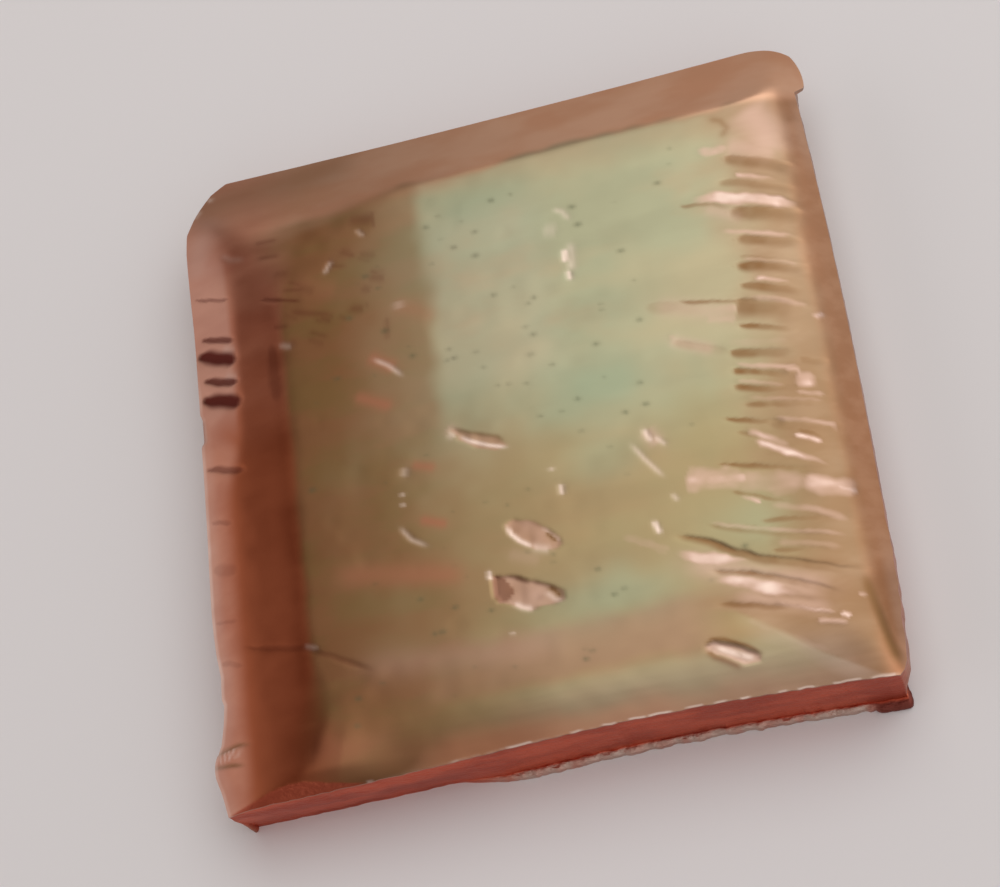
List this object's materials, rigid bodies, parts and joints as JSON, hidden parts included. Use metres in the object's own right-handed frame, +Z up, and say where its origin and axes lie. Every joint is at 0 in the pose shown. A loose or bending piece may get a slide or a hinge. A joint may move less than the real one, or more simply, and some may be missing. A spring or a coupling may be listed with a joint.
{
  "type": "copper block",
  "caption": "Short thick slab of raw copper with rolled-over shoulders, fold wrinkles along one side and a sheared near side with a burr at its foot; bulk stock to melt, machine or store.",
  "frame": {"origin": "bottom centre of the block's box, on the plane of its flat underside", "axes": "+Z up through the thickness towards the rolled face, +Y away from the sheared near side towards the far side, +X towards the wrinkled side"},
  "size_m": [0.075, 0.077, 0.011],
  "materials": {
    "copper": "raw copper, pressed smooth and satin on the face with a thin greenish gold tarnish film, bare pink in the folds and pits, darker red on the sheared near side"
  },
  "bodies": {
    "root": {"copper_block": "copper"}
  },
  "joints": []
}
